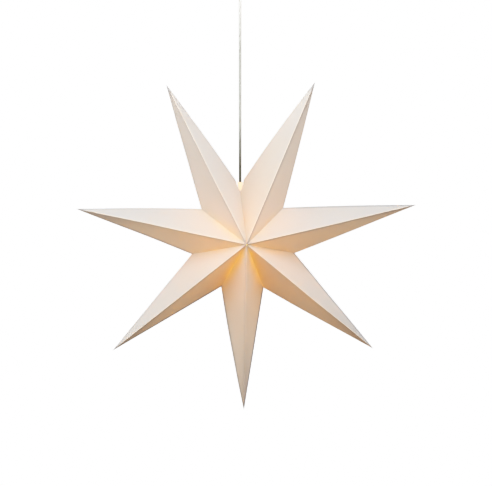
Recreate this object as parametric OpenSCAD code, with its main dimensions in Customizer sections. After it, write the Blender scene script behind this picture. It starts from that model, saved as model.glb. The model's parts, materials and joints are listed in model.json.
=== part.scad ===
// Paper star lantern with seven folded arms, its lamp holder, bulb and cord, and its ceiling fitting.
// The origin is on the ceiling, above the cord. The star hangs down along -Z and faces -Y.

/* [Star] */
// Distance from the star's centre to the tip of an even arm
tip_r = 385; // [300:1:500]
// Distance from the star's centre to the notch between two arms
notch_r = 117; // [100:1:150]
// Distance from the star's middle plane to its front hub and to its back hub
hub_depth = 110; // [90:1:140]
// How far the hand-assembled arms stray from their even places, as a share of the real strays
unevenness = 1; // [0:0.1:1]
// How much further out the notch of the closing seam lies
closing_rise = 7; // [0:0.5:12]
// Angle by which the closing seam leans to the left
closing_lean = 4; // [1:0.5:6]
// Width of the pinhole where the seven arms meet
hub_gap_d = 2; // [1:0.5:5]

/* [Paper] */
// Thickness of the star paper
paper_t = 0.3; // [0.2:0.05:0.6]
// Width of the glue tabs along the valleys
tab_w = 9; // [6:0.5:12]
// Width of the lap that closes each arm along its back ridge
lap_w = 10; // [6:0.5:14]
// Width of the hole that is snipped at the top notch for the cord
cord_hole_d = 19; // [14:0.5:24]
// Length of that hole from front to back
cord_hole_len = 37; // [26:1:44]

/* [Cord] */
// Diameter of the cord
cord_d = 5.5; // [4:0.1:6]
// Height of the ceiling above the star's centre
star_drop = 660; // [640:1:700]
// How far the star's centre stands to the right of the cord
star_side = 8; // [4:0.5:10]

/* [Lamp holder] */
// Height of the cap's shoulder above the star's centre
shoulder_z = 81; // [76:0.5:84]
// Outer diameter of the cap
cap_d = 31; // [29:0.5:34]
// Wall of the cap
cap_wall = 1.8; // [1.2:0.1:2.4]
// Diameter of the nipple that the cord comes out of
nipple_d = 11; // [10:0.5:13]
// Length of the nipple
nipple_len = 9; // [8:0.5:12]
// Height of the cap's cone
cap_cone_h = 13; // [10:0.5:16]
// Height of the cap's straight skirt
cap_skirt_h = 12; // [8:0.5:16]
// Length of the sleeve below the cap
sleeve_len = 32; // [30:0.5:36]
// Wall of the sleeve
sleeve_wall = 1.5; // [1.2:0.1:2]
// Thickness of the contact carrier
carrier_t = 6; // [5:0.5:8]

/* [Bulb] */
// Diameter of the bulb's globe
globe_d = 45; // [40:1:50]
// Length of the bulb from its contact to the bottom of its globe
bulb_len = 78; // [72:1:90]
// Outer diameter of the screw base
base_d = 13.8; // [13.4:0.1:14.2]
// Length of the screw base with its contact
base_len = 25; // [22:0.5:27]

/* [Bail] */
// Diameter of the wire
wire_d = 2; // [1.4:0.1:2.5]
// How far each leg of the bail reaches from the seam's top towards the hub
leg_reach = 60; // [45:1:66]
// Length of the foot at the end of each leg
foot_len = 8; // [5:0.5:12]

/* [Closing clips] */
// Distance of each clip from the star's middle plane
clip_y = 80; // [78:0.5:84]
// Length of each clip along the seam
clip_len = 11; // [8:0.5:14]
// Depth of each clip over the tabs
clip_grip = 6; // [4:0.5:7]
// Thickness of the clips' sheet
clip_t = 0.4; // [0.3:0.05:0.6]

/* [Ceiling fitting] */
// Diameter of the ceiling cup at the ceiling
cup_d = 100; // [90:1:120]
// Height of the ceiling cup
cup_h = 60; // [52:1:66]
// Wall of the ceiling cup
cup_wall = 2; // [1.5:0.1:3]
// Height of the cup's straight rim
rim_h = 14; // [13:0.5:20]
// Diameter of the cup's flat bottom
cup_bottom_d = 34; // [30:1:44]
// Diameter of the cord grip's body
grip_d = 17; // [15:0.5:20]
// Length of the cord grip below the cup
grip_len = 20; // [16:0.5:24]
// Diameter of the cord grip's stem
stem_d = 10; // [9.5:0.5:12]
// Length of the cord grip's stem
stem_len = 11; // [9:0.5:14]
// Width of the grip's nut across its flats
nut_w = 14; // [13.5:0.5:17]
// Thickness of the grip's nut
nut_t = 4; // [3:0.5:5]
// Width of the mounting bar
bar_w = 16; // [12:0.5:22]
// Thickness of the mounting bar
bar_t = 1.5; // [1:0.1:2]
// Height of the bar's two ears
ear_h = 12; // [11:0.5:14]
// Distance between the two ceiling screws
screw_pitch = 60; // [50:1:70]
// Diameter of the holes for the ceiling screws
screw_hole_d = 4.5; // [4:0.1:5.5]
// Diameter of the two screws that hold the cup
cup_screw_d = 3.5; // [3:0.1:4]
// Length of the two screws that hold the cup, under the head
cup_screw_len = 7; // [5:0.5:9]
// Width of the terminal block
block_w = 20; // [18:0.5:26]
// Depth of the terminal block
block_d = 17; // [15:0.5:20]
// Height of the terminal block
block_h = 15.5; // [13:0.5:16]

/* [Hidden] */
$fn = 64;

arm_count = 7;
arm_step = 360 / arm_count;
closing_seam = 3;

// Strays of the hand-assembled arms and notches, from the bottom arm round to the right
tip_turn = [0, -1, -1.5, 1.5, 0.5, 1.5, 1.5];
tip_out = [-3, -3, 12, 3, 2, -7, -3];
notch_turn = [-3, -1, 1, 0, 1, 1, -0.5];
notch_out = [-2, 1, -1, 0, 2, 2.5, -2.5];

// Clearances
slip = 0.15; // between pieces that slide over each other
rest_gap = 0.2; // between the wire and the tabs that rest on it
thread_gap = 0.05; // between a screw and its hole

tab_trim = 6; // the tabs stop this far from the star's axis
tab_slit = 0.5; // half the slit between the front tab and the back tab at a notch
slit_end = 2; // the slit and the trim stop this far from the fold
lap_inset = 1; // the lap starts this far from the back ridge
lap_ends = [0.08, 0.11, 0.8, 0.9]; // the lap's four corners, as shares of the ridge
small_fn = 32; // sides of the small round pieces

wire_r = wire_d / 2;
bead_r = wire_r * 1.1; // where the wire is bent or ends
bend_y = 12; // where each leg of the bail bends, in front of and behind the middle plane
nipple_r = nipple_d / 2;
cap_r = cap_d / 2;
cord_bore_r = cord_d / 2 + slip + 0.1;

// Heights inside the star, above its centre
cap_bottom_z = shoulder_z - cap_cone_h - cap_skirt_h;
spigot_h = 6; // how far the sleeve reaches into the cap
sleeve_r = cap_r - 0.7;
spigot_r = cap_r - cap_wall - slip;
sleeve_bore_r = spigot_r - sleeve_wall;
ledge_w = 0.8; // the ledge in the sleeve that the carrier rests on
carrier_r = sleeve_bore_r - slip;
carrier_top_z = cap_bottom_z - 1;
carrier_z = carrier_top_z - carrier_t;
contact_t = 0.5;
contact_drop = 2;
contact_w = 4;
contact_foot = 3; // length of the tongue's flat foot
contact_tip = 2; // the tongue ends this far past the axis
bulb_top_z = carrier_z - contact_drop - contact_t;
button_r = 2.2; // the bulb's contact button
button_h = 1;
insulator_r = 5; // the glass ring round the button
insulator_h = 2.5;
base_shoulder_h = 1.5;
neck_w = 1; // the bulb's neck stands this far out of its base
neck_h = 0.5;
shell_r = base_d / 2 + slip;
shell_t = 0.4;
shell_len = 16;
shell_lip = 1.2;

// Small screws
screw_up = 5.5; // height of the cord screw above the cap's shoulder
grub_r = 1.5;
terminal_x = 7; // distance of each terminal screw from the axis
terminal_r = 1.4;
terminal_len = 4;
terminal_head_r = 2.4;
cup_screw_z = 8; // depth of the cup's screws below the ceiling
cup_screw_head_r = 3.4;
cup_screw_head_h = 2.2;
wire_hole_r = 1.8; // in the terminal block
pole_screw_r = 1.4;
pole_screw_depth = 3;

// The cord's route, from the terminal block down to the contact carrier
cord_sides = 12;
cord_route = [
    [0, 0, -17], [0, 0, -32], [0, 0, -47], [0, 0, -62], [0, 0, -77], [0, 0, -92],
    [0, 0, -107], [0, 0, -122], [0, 0, -137], [0, 0, -152], [0, 0, -167], [0, 0, -182],
    [0, 0, -197], [0, 0, -212], [0, 0, -227], [0, 0, -242], [0, 0, -257], [0, 0, -272],
    [0, 0, -287], [0, 0, -302], [0, 0, -317], [0, 0, -332], [0, 0, -347], [0, 0, -362],
    [0, 0, -377], [0, 0, -392], [0, 0, -407], [0, 0, -422], [0, 0, -437], [0, 0, -452],
    [0, 0, -467], [0, 0, -482], [0, 0, -497], [0, 0, -512], [0, 0, -527], [0, 0, -542],
    [0, 0, -557], [0, 0, -572], [0, 0, -588], [0, 0, -605]
];

// Places on the star's middle plane
function out_from_centre(r, a) = [r * cos(a), 0, r * sin(a)];
function arm_angle(k) = -90 + k * arm_step;
function tip(k) = out_from_centre(
    tip_r + unevenness * tip_out[k],
    arm_angle(k) + unevenness * tip_turn[k]
);
function is_closing(k) = k == closing_seam;
function seam_r(k) = notch_r + unevenness * notch_out[k] + (is_closing(k) ? closing_rise : 0);
function seam_angle(k) =
    arm_angle(k + 0.5) + unevenness * notch_turn[k] + (is_closing(k) ? closing_lean : 0);
function before(k) = (k + arm_count - 1) % arm_count;
function unit(v) = v / norm(v);

// A valley runs straight from the notch to the hub. This is the place on the closing seam's plane
// that lies inset from the valley and y in front of or behind the middle plane.
function along_seam(k, inset, y) =
    let (r = seam_r(k), length = norm([r, hub_depth]))
    r * (1 - inset * length / (r * hub_depth) - abs(y) / hub_depth);
function seam_point(k, inset, y) =
    out_from_centre(along_seam(k, inset, y), seam_angle(k)) + [0, y, 0];

// Twice the signed area of an outline, seen from the tip of the normal n
function signed_area(pts, n, i = 0) =
    i == len(pts) ? 0 : cross(pts[i], pts[(i + 1) % len(pts)]) * n + signed_area(pts, n, i + 1);

// A flat sheet: the outline pts, thickened along n from the distance near to the distance far
module sheet(pts, n, near, far) {
    m = len(pts);
    outline = signed_area(pts, n) > 0 ? pts : [for (i = [m - 1:-1:0]) pts[i]];
    polyhedron(
        points = concat([for (p = outline) p + n * near], [for (p = outline) p + n * far]),
        faces = concat(
            [[for (i = [0:m - 1]) i]],
            [[for (i = [m - 1:-1:0]) m + i]],
            [for (i = [0:m - 1]) [i, m + i, m + (i + 1) % m, (i + 1) % m]]
        )
    );
}

// A wedge between two seams: one tip, a point in front, its mirror image behind, and two notches
module wedge(far_out, front, notch0, notch1) {
    behind = [front[0], -front[1], front[2]];
    polyhedron(
        points = [far_out, front, behind, notch0, notch1],
        faces = [[1, 0, 3], [1, 4, 0], [2, 3, 0], [2, 0, 4], [1, 3, 2], [1, 2, 4]]
    );
}

// The space inside arm k: each facet and each seam plane moved in by one paper thickness
module arm_cavity(k) {
    hub = [0, -hub_depth, 0];
    b0 = seam_angle(before(k));
    b1 = seam_angle(k);
    m0 = [-sin(b0), 0, cos(b0)];
    m1 = [sin(b1), 0, -cos(b1)];
    n0 = unit(cross(seam_point(before(k), 0, 0) - hub, tip(k) - hub));
    n1 = unit(cross(tip(k) - hub, seam_point(k, 0, 0) - hub));
    reach0 = n0 * hub - paper_t;
    reach1 = n1 * hub - paper_t;
    span = b1 > b0 ? b1 - b0 : b1 - b0 + 360;
    apex = out_from_centre(paper_t / sin(span / 2), b0 + span / 2);
    apex_y = ((reach0 - n0 * apex) / n0[1] + (reach1 - n1 * apex) / n1[1]) / 2;
    u0 = out_from_centre(1, b0);
    u1 = out_from_centre(1, b1);
    det = n0[0] * n1[2] - n0[2] * n1[0];
    wedge(
        [(reach0 * n1[2] - n0[2] * reach1) / det, 0, (n0[0] * reach1 - reach0 * n1[0]) / det],
        apex + [0, apex_y, 0],
        m0 * paper_t + u0 * (reach0 - paper_t * n0 * m0) / (n0 * u0),
        m1 * paper_t + u1 * (reach1 - paper_t * n1 * m1) / (n1 * u1)
    );
}

// What is cut out of the paper on seam k, so that only its front tab and its back tab stay.
// The sign into points from the seam into the arm.
module seam_window(k, into) {
    normal = into * [-sin(seam_angle(k)), 0, cos(seam_angle(k))];
    u = out_from_centre(1, seam_angle(k));
    r = seam_r(k);
    slope = norm([r, hub_depth]) / r;
    valley_y = hub_depth * (1 - tab_trim / r);
    half = [
        u * (r - slit_end) + [0, tab_slit, 0],
        seam_point(k, tab_w, tab_slit),
        u * tab_trim + [0, valley_y - tab_w * slope, 0],
        u * tab_trim + [0, valley_y - slit_end, 0],
        u * -tab_trim + [0, valley_y - slit_end, 0]
    ];
    other_half = [for (i = [len(half) - 1:-1:0]) [half[i][0], -half[i][1], half[i][2]]];
    sheet(concat(half, other_half), normal, -1, paper_t * 1.2);
}

// The lap along the back ridge of arm k, glued to the inside of the next facet
module back_lap(k) {
    hub = [0, hub_depth, 0];
    ridge = tip(k) - hub;
    inward = unit(cross(ridge, seam_point(k, 0, 0) - hub));
    across = unit(cross(inward, ridge));
    sheet(
        [
            hub + ridge * lap_ends[0] + across * lap_inset,
            hub + ridge * lap_ends[1] + across * lap_w,
            hub + ridge * lap_ends[2] + across * lap_w * 0.6,
            hub + ridge * lap_ends[3] + across * lap_inset
        ],
        inward, paper_t * 0.8, paper_t * 2
    );
}

// The hole that is snipped through the two upper arms for the cord, with round ends
module cord_hole() {
    end_y = (cord_hole_len - cord_hole_d) / 2;
    translate([-star_side, 0, shoulder_z]) {
        for (y = [-end_y, end_y])
            translate([0, y, 0])
            cylinder(h = notch_r, d = cord_hole_d);
        translate([-cord_hole_d / 2, -end_y, 0])
            cube([cord_hole_d, 2 * end_y, notch_r]);
    }
}

// One arm: a folded sheet that is closed by its lap and ends in two tabs on each seam
module arm(k) {
    left = before(k);
    color("linen")
    translate([star_side, 0, -star_drop])
    difference() {
        wedge(tip(k), [0, -hub_depth, 0], seam_point(left, 0, 0), seam_point(k, 0, 0));
        difference() {
            arm_cavity(k);
            back_lap(k);
        }
        seam_window(left, 1);
        seam_window(k, -1);
        rotate([90, 0, 0])
            cylinder(h = 3 * hub_depth, d = hub_gap_d, center = true, $fn = small_fn);
        if (k == closing_seam || left == closing_seam)
            cord_hole();
    }
}

// One clip: a folded spring sheet over the inner edges of the closing seam's two back tabs
module clip() {
    half_w = paper_t + thread_gap + clip_t;
    translate([star_side, 0, -star_drop])
    rotate([0, -seam_angle(closing_seam), 0])
    translate([along_seam(closing_seam, tab_w, clip_y), clip_y, 0])
    rotate([0, 0, -atan2(hub_depth, seam_r(closing_seam))])
    difference() {
        translate([-clip_len / 2, -clip_t - rest_gap, -half_w])
            cube([clip_len, clip_grip + clip_t + rest_gap, 2 * half_w]);
        translate([-clip_len, -rest_gap, clip_t - half_w])
            cube([2 * clip_len, 2 * clip_grip, 2 * (half_w - clip_t)]);
    }
}

// The two clips, one on the back seam and its mirror image on the front seam
module closing_clips() {
    color("silver")
    for (flip = [0, 1])
        mirror([0, flip, 0]) clip();
}

// A round wire from a to b, with a small bead at each end where the real wire is bent
module wire(a, b) {
    v = b - a;
    translate(a)
        rotate([0, acos(v[2] / norm(v)), atan2(v[1], v[0])])
        cylinder(h = norm(v), r = wire_r, $fn = small_fn);
    for (p = [a, b])
        translate(p)
            sphere(r = bead_r, $fn = small_fn);
}

// The bail: a ring that sits on the cap's shoulder and two legs that run under the closing seam
module wire_bail() {
    ring_r = nipple_r + slip + wire_r;
    ring_z = shoulder_z + wire_r + thread_gap;
    inset = tab_w + wire_r + rest_gap;
    color("silver")
    translate([0, 0, -star_drop]) {
        translate([0, 0, ring_z])
            rotate_extrude()
            translate([ring_r, 0])
            circle(r = wire_r, $fn = small_fn);
        for (side = [-1, 1]) {
            foot = [0, side * ring_r, ring_z];
            bend = seam_point(closing_seam, inset, side * bend_y) + [star_side, 0, 0];
            end = seam_point(closing_seam, inset, side * leg_reach) + [star_side, 0, 0];
            wire(foot, bend);
            wire(bend, end);
            wire(end, end + [0, 0, -foot_len]);
        }
    }
}

// The holder's cap: a hollow cone with a nipple for the cord and a straight skirt
module holder_cap() {
    cavity_r = cap_r - cap_wall;
    color("white")
    translate([0, 0, -star_drop])
    difference() {
        rotate_extrude()
            polygon([
                [cord_bore_r, shoulder_z + nipple_len], [nipple_r - 1, shoulder_z + nipple_len],
                [nipple_r, shoulder_z + nipple_len - 1], [nipple_r, shoulder_z],
                [nipple_r + 2, shoulder_z], [cap_r, shoulder_z - cap_cone_h],
                [cap_r, cap_bottom_z], [cavity_r, cap_bottom_z],
                [cavity_r, shoulder_z - cap_cone_h - 1], [nipple_r, shoulder_z - 2 * cap_wall],
                [cord_bore_r, shoulder_z - 2 * cap_wall]
            ]);
        translate([0, 0, shoulder_z + screw_up])
            rotate([0, 90, 0])
            cylinder(h = cap_r, r = grub_r + thread_gap, $fn = small_fn);
    }
}

// The screw that clamps the cord in the nipple
module cord_screw() {
    color("ivory")
    translate([cord_d / 2 + thread_gap, 0, shoulder_z + screw_up - star_drop])
        rotate([0, 90, 0])
        difference() {
            cylinder(h = nipple_r + 0.8 - cord_d / 2, r = grub_r, $fn = small_fn);
            translate([-grub_r, -0.25, nipple_r - cord_d / 2])
                cube([2 * grub_r, 0.5, 2]);
        }
}

// The holder's sleeve: a tube with a spigot in the cap and a ledge under the carrier
module holder_sleeve() {
    bottom_z = cap_bottom_z - sleeve_len;
    color("white")
    translate([0, 0, -star_drop])
        rotate_extrude()
        polygon([
            [spigot_r, cap_bottom_z + spigot_h], [spigot_r, cap_bottom_z],
            [sleeve_r, cap_bottom_z], [sleeve_r, bottom_z + 1], [sleeve_r - 1, bottom_z],
            [sleeve_bore_r - ledge_w, bottom_z], [sleeve_bore_r - ledge_w, carrier_z],
            [sleeve_bore_r, carrier_z], [sleeve_bore_r, cap_bottom_z + spigot_h]
        ]);
}

// The disc that carries the contacts, with blind holes for its two terminal screws
module contact_carrier() {
    color("gainsboro")
    translate([0, 0, carrier_z - star_drop])
    difference() {
        cylinder(h = carrier_t, r = carrier_r);
        for (side = [-1, 1])
            translate([side * terminal_x, 0, carrier_t - terminal_len])
                cylinder(h = terminal_len + 1, r = terminal_r + thread_gap, $fn = small_fn);
    }
}

module terminal_screws() {
    color("goldenrod")
    for (side = [-1, 1])
        translate([side * terminal_x, 0, carrier_top_z - star_drop])
        difference() {
            union() {
                translate([0, 0, thread_gap - terminal_len])
                    cylinder(h = terminal_len, r = terminal_r, $fn = small_fn);
                cylinder(h = 1.8, r = terminal_head_r, $fn = small_fn);
            }
            translate([-terminal_head_r, -0.3, 1])
                cube([2 * terminal_head_r, 0.6, 2]);
        }
}

// The brass shell that the bulb screws into, with a lip that sits under the carrier
module thread_shell() {
    color("gold")
    translate([0, 0, carrier_z - star_drop])
        rotate_extrude()
        polygon([
            [shell_r, -shell_len], [shell_r + shell_t, -shell_len], [shell_r + shell_t, -shell_t],
            [shell_r + shell_lip, -shell_t], [shell_r + shell_lip, 0], [shell_r, 0]
        ]);
}

// The bent brass tongue that presses on the bulb's contact
module centre_contact() {
    foot_x = shell_r - 1;
    color("gold")
    translate([0, contact_w / 2, carrier_z - star_drop])
        rotate([90, 0, 0])
        linear_extrude(height = contact_w)
        polygon([
            [foot_x, 0], [foot_x - contact_foot, 0], [-contact_tip, -contact_drop],
            [-contact_tip, -contact_drop - contact_t], [foot_x - contact_foot, -contact_t],
            [foot_x, -contact_t]
        ]);
}

// The bulb: screw base, neck and globe, closed all round
module bulb() {
    globe_r = globe_d / 2;
    globe_z = bulb_top_z - bulb_len + globe_r;
    base_z = bulb_top_z - base_len;
    insulator_z = bulb_top_z - button_h - insulator_h;
    neck_angle = 42;
    color("cornsilk")
    translate([0, 0, -star_drop])
        rotate_extrude()
        polygon(concat(
            [
                [0, bulb_top_z], [button_r, bulb_top_z], [button_r + 0.8, bulb_top_z - button_h],
                [insulator_r, insulator_z], [base_d / 2, insulator_z - base_shoulder_h],
                [base_d / 2, base_z], [base_d / 2 + neck_w, base_z - neck_h]
            ],
            [
                for (a = [90 - neck_angle:-6:-90])
                    [globe_r * cos(a), globe_z + globe_r * sin(a)]
            ]
        ));
}

// The cord: a round tube along its route
module cord() {
    rings = len(cord_route);
    color("lightgray")
    polyhedron(
        points = [
            for (p = cord_route, i = [0:cord_sides - 1])
                p + cord_d / 2 * [cos(360 * i / cord_sides), sin(360 * i / cord_sides), 0]
        ],
        faces = concat(
            [[for (i = [cord_sides - 1:-1:0]) i]],
            [[for (i = [0:cord_sides - 1]) (rings - 1) * cord_sides + i]],
            [
                for (j = [0:rings - 2], i = [0:cord_sides - 1])
                    let (a = j * cord_sides + i, b = j * cord_sides + (i + 1) % cord_sides)
                    [a, b, b + cord_sides, a + cord_sides]
            ]
        )
    );
}

// The cord grip: a body with a tapered nose below the cup, and a stem through the cup's bottom
module cord_grip() {
    grip_r = grip_d / 2;
    stem_r = stem_d / 2;
    color("white")
    translate([0, 0, -cup_h])
        rotate_extrude()
        polygon([
            [cord_bore_r, cup_wall + stem_len], [stem_r, cup_wall + stem_len], [stem_r, 0],
            [grip_r, 0], [grip_r, -grip_len * 0.45], [cord_bore_r + 2, -grip_len],
            [cord_bore_r, -grip_len]
        ]);
}

// The nut on the grip's stem
module grip_nut() {
    color("white")
    translate([0, 0, cup_wall - cup_h])
    difference() {
        cylinder(h = nut_t, d = nut_w / cos(30), $fn = 6);
        translate([0, 0, -1])
            cylinder(h = nut_t + 2, r = stem_d / 2 + thread_gap);
    }
}

// The ceiling cup: a straight rim and a cone down to a flat bottom
module ceiling_cup() {
    outer_r = cup_d / 2;
    bottom_r = cup_bottom_d / 2;
    slope = atan2(cup_h - rim_h, outer_r - bottom_r);
    inset = cup_wall * tan(slope / 2);
    color("white")
    difference() {
        rotate_extrude()
            polygon([
                [outer_r, 0], [outer_r, -rim_h], [bottom_r, -cup_h],
                [stem_d / 2 + slip, -cup_h], [stem_d / 2 + slip, cup_wall - cup_h],
                [bottom_r - inset, cup_wall - cup_h], [outer_r - cup_wall, -rim_h],
                [outer_r - cup_wall, 0]
            ]);
        rotate([0, 90, 0])
            translate([cup_screw_z, 0, -cup_d])
            cylinder(h = 2 * cup_d, r = cup_screw_d / 2 + slip, $fn = small_fn);
    }
}

// The two screws that hold the cup to the bar's ears
module cup_screws() {
    color("silver")
    for (side = [0, 180])
        rotate([0, 0, side])
        translate([cup_d / 2, 0, -cup_screw_z])
        rotate([0, 90, 0])
        difference() {
            union() {
                translate([0, 0, -cup_screw_len])
                    cylinder(h = cup_screw_len, d = cup_screw_d, $fn = small_fn);
                cylinder(h = cup_screw_head_h, r = cup_screw_head_r, $fn = small_fn);
            }
            translate([-cup_screw_head_r, -0.4, cup_screw_head_h - 1])
                cube([2 * cup_screw_head_r, 0.8, 2]);
        }
}

// The mounting bar: a strap against the ceiling with two ears that turn down inside the cup
module mounting_bar() {
    rim_bore_r = cup_d / 2 - cup_wall;
    reach = sqrt(rim_bore_r * rim_bore_r - bar_w * bar_w / 4) - slip;
    color("silver")
    difference() {
        union() {
            translate([-reach, -bar_w / 2, -bar_t])
                cube([2 * reach, bar_w, bar_t]);
            for (side = [0, 180])
                rotate([0, 0, side])
                translate([reach - bar_t, -bar_w / 2, -ear_h])
                cube([bar_t, bar_w, ear_h]);
        }
        for (side = [-1, 1])
            translate([side * screw_pitch / 2, 0, -2 * bar_t])
                cylinder(h = 3 * bar_t, d = screw_hole_d, $fn = small_fn);
        rotate([0, 90, 0])
            translate([cup_screw_z, 0, -cup_d])
            cylinder(h = 2 * cup_d, r = cup_screw_d / 2 + thread_gap, $fn = small_fn);
    }
}

// The terminal block under the bar, with a wire hole and a screw hole for each of its two poles
module terminal_block() {
    pole_x = block_w / 4;
    color("ivory")
    translate([0, 0, -bar_t - block_h])
    difference() {
        translate([-block_w / 2, -block_d / 2, 0])
            cube([block_w, block_d, block_h]);
        for (side = [-1, 1]) {
            translate([side * pole_x, 0, block_h / 2])
                rotate([90, 0, 0])
                cylinder(h = 2 * block_d, r = wire_hole_r, center = true, $fn = small_fn);
            translate([side * pole_x, -block_d / 2, block_h * 0.8])
                rotate([90, 0, 0])
                cylinder(h = 2 * pole_screw_depth, r = pole_screw_r, center = true, $fn = small_fn);
        }
    }
}

arm(0);  // arm_bottom
arm(1);  // arm_lower_right
arm(2);  // arm_right
arm(3);  // arm_upper_right
arm(4);  // arm_upper_left
arm(5);  // arm_left
arm(6);  // arm_lower_left
closing_clips();
wire_bail();
holder_cap();
cord_screw();
holder_sleeve();
contact_carrier();
terminal_screws();
thread_shell();
centre_contact();
bulb();
cord();
cord_grip();
grip_nut();
ceiling_cup();
cup_screws();
mounting_bar();
terminal_block();
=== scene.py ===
# %% [markdown]
# # A folded paper star lantern
# The star hangs from the ceiling on its lamp cord. Seven folded paper arms stand round a lamp holder,
# and the bulb inside makes the paper glow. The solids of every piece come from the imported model. This
# lesson gives them their paper, plastic, metal and light.

# %% Load the solids and keep the size of the whole
import json
import math
import bpy
import numpy as np
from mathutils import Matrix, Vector


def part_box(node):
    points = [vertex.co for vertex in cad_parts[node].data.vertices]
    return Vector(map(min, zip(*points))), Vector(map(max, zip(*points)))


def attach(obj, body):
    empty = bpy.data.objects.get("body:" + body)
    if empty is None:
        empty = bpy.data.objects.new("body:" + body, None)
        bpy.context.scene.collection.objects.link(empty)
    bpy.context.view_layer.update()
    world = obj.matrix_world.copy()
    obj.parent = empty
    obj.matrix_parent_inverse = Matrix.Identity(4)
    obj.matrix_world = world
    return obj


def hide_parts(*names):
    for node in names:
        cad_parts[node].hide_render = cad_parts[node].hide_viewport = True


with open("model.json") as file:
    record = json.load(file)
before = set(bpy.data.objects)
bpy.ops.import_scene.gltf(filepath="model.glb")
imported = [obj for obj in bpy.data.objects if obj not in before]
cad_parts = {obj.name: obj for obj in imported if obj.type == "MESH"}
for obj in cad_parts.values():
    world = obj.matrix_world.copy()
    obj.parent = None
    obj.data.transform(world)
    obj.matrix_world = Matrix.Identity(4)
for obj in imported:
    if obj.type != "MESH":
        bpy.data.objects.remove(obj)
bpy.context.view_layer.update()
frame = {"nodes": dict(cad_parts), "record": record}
MM = 0.001

# %% [markdown]
# The picture was taken from a little left of the star's front and a little above it, from far away, so
# the arms hardly shrink with distance. A long lens gives that calm look. The camera aims just beside
# the star's centre, because the star hangs a little off the middle of the picture.

# %% The camera
STAR_CENTRE = Vector((8 * MM, 0, -660 * MM))
CAMERA_TURN = math.radians(-3.5)
CAMERA_RISE = math.radians(4.3)
CAMERA_DISTANCE = 3.08
AIM_RIGHT, AIM_UP = 5.2 * MM, -4.5 * MM


def aim_camera(turn, rise, distance):
    """A camera on a sphere round the aim: back = (sin t cos r, -cos t cos r, sin r) times the distance."""
    back = Vector((math.sin(turn) * math.cos(rise), -math.cos(turn) * math.cos(rise), math.sin(rise)))
    right = Vector((math.cos(turn), math.sin(turn), 0))
    aim = STAR_CENTRE + right * AIM_RIGHT + back.cross(right) * AIM_UP
    lens = bpy.data.cameras.new("studio_camera")
    lens.lens, lens.sensor_width = 100.2, 36
    camera = bpy.data.objects.new("studio_camera", lens)
    camera.location = aim + back * distance
    camera.rotation_euler = back.to_track_quat("Z", "Y").to_euler()
    bpy.context.scene.collection.objects.link(camera)
    return camera


camera = aim_camera(CAMERA_TURN, CAMERA_RISE, CAMERA_DISTANCE)
bpy.context.scene.camera = camera
print("camera at", tuple(round(x, 3) for x in camera.location))

# %% [markdown]
# Materials are node trees. A few lines of Python make them read like sums: `Value` wraps a socket, so
# that `1 - mask` or `a * b` adds the Math nodes, and `Tree.node` adds any other node with its settings
# and inputs. Colours are mixed with Mix nodes, because a Math node would turn them grey.

# %% A wrapper for node trees
class Value:
    """One output socket that takes part in sums."""

    def __init__(self, tree, socket):
        self.tree, self.socket = tree, socket

    def math(self, operation, *others):
        names = dict(enumerate((self, *others)))
        return self.tree.node("ShaderNodeMath", {"operation": operation}, names)

    def __add__(self, other):
        return self.math("ADD", other)

    def __mul__(self, other):
        return self.math("MULTIPLY", other)

    def __sub__(self, other):
        return self.math("SUBTRACT", other)

    def __rsub__(self, other):
        return self.tree.node("ShaderNodeMath", {"operation": "SUBTRACT"}, {0: other, 1: self})

    __radd__, __rmul__ = __add__, __mul__

    def smooth(self, low, high):
        """0 below low, 1 above high, and an even S curve between them."""
        ends = {"Value": self, "From Min": low, "From Max": high}
        return self.tree.node("ShaderNodeMapRange", {"interpolation_type": "SMOOTHSTEP"}, ends)


class Tree:
    """A material's or the world's node tree."""

    def __init__(self, owner):
        owner.use_nodes = True
        self.owner, self.links = owner, owner.node_tree.links
        self.nodes = owner.node_tree.nodes
        self.nodes.clear()

    def node(self, kind, settings=None, inputs=None, output=0):
        """Any node: its settings are set first, then its inputs are given values or links."""
        made = self.nodes.new(kind)
        for name, value in (settings or {}).items():
            setattr(made, name, value)
        for name, value in (inputs or {}).items():
            if isinstance(value, Value):
                self.links.new(value.socket, made.inputs[name])
            else:
                made.inputs[name].default_value = value
        return Value(self, made.outputs[output]) if len(made.outputs) else None

    def mix(self, share, a, b):
        """The colour a where share is 0 and b where it is 1."""
        a, b = (c if isinstance(c, Value) else (*c, 1) for c in (a, b))
        return self.node("ShaderNodeMix", {"data_type": "RGBA"}, {0: share, 6: a, 7: b}, 2)

    def noise(self, scale, detail=2.0, where=None, roughness=0.5):
        where = where or self.place()
        given = {"Vector": where, "Scale": scale, "Detail": detail, "Roughness": roughness}
        return self.node("ShaderNodeTexNoise", {}, given)

    def place(self):
        return self.node("ShaderNodeTexCoord", {}, {}, "Object")

    def height(self):
        return self.node("ShaderNodeSeparateXYZ", {}, {0: self.place()}, 2)

    def attribute(self, name):
        return self.node("ShaderNodeAttribute", {"attribute_name": name}, {}, "Fac")

    def bump(self, height, distance, strength=1.0):
        given = {"Height": height, "Distance": distance, "Strength": strength}
        return self.node("ShaderNodeBump", {}, given)

    def principled(self, **given):
        """A Principled shader. Each name is a socket's in small letters, and a colour is three numbers."""
        inputs = {}
        for name, value in given.items():
            words = name.replace("_", " ").title()
            words = {"Specular Level": "Specular IOR Level"}.get(words, words)
            is_colour = isinstance(value, tuple) and len(value) == 3
            inputs[words] = (*value, 1) if is_colour else value
        return self.node("ShaderNodeBsdfPrincipled", {}, inputs)

    def surface(self, shader):
        self.node("ShaderNodeOutputMaterial", {}, {"Surface": shader})
        return self.owner


print("tree wrapper ready")

# %% [markdown]
# The studio is a white room. Its light is cool from above and warm from below, so the facets that look
# up are pale and the facets that look down are amber. One large soft light hangs in front and above,
# and two weaker ones stand at the sides. Small lamps would draw hard shadows that the picture lacks.

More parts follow.
